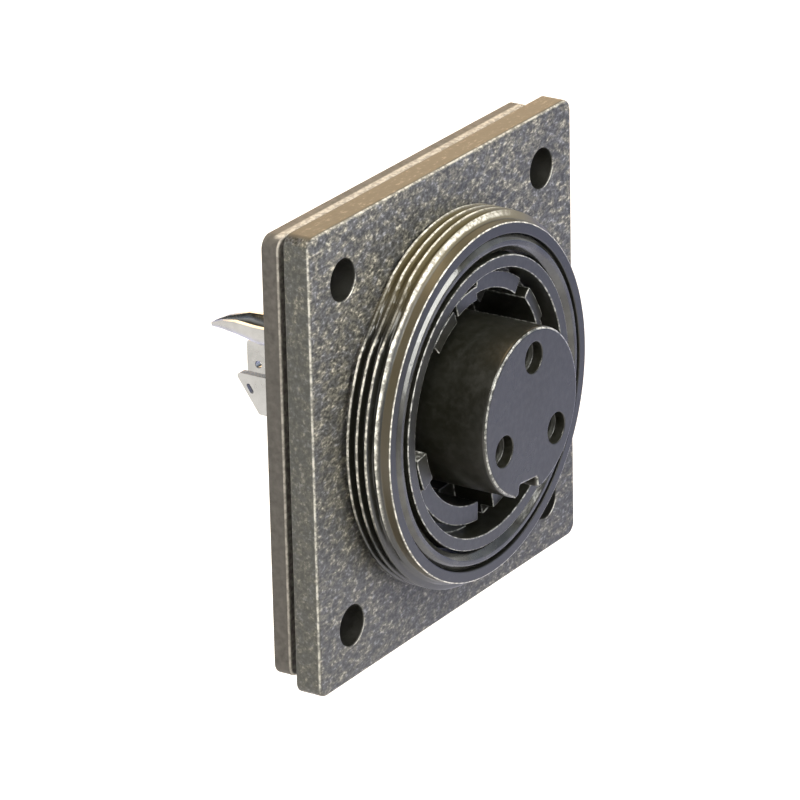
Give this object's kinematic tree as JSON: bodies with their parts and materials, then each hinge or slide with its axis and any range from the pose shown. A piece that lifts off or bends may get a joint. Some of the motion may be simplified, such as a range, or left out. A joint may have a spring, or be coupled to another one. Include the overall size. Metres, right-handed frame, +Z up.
{
  "type": "circular connector receptacle",
  "caption": "Square-flange panel socket of a round power connector, with a threaded collar, a keyed well round a boss of contact sockets, a gasket and rear tails.",
  "frame": {"origin": "on the connector's axis, in the plane of the gasket's rear face, where the panel lies", "axes": "-Y out of the mating face, +Y through the panel to the tails, +Z up, +X to the right seen from the mating side"},
  "size_m": [0.042, 0.0335, 0.042],
  "materials": {
    "housing_plastic": "glass-filled, fine speckle, satin",
    "gasket_rubber": "matte grey-black",
    "seal_rubber": "smooth black",
    "insert_plastic": "moulded, semi-gloss",
    "retainer_plastic": "moulded, satin",
    "plate_plastic": "moulded, satin",
    "tinned_metal": "bright tin plate",
    "spring_steel": "drawn"
  },
  "bodies": {
    "root": {"flange_housing": "housing_plastic", "panel_gasket": "gasket_rubber", "mouth_seal": "seal_rubber", "keyed_insert": "insert_plastic", "insert_seal": "seal_rubber", "contact_block": "insert_plastic", "block_seal": "seal_rubber", "insert_retainer": "retainer_plastic", "contact_plate": "plate_plastic", "earth_tag": "tinned_metal", "earth_contact": "tinned_metal", "line_contact": "tinned_metal", "neutral_contact": "tinned_metal", "earth_contact_spring": "spring_steel", "line_contact_spring": "spring_steel", "neutral_contact_spring": "spring_steel"}
  },
  "joints": []
}
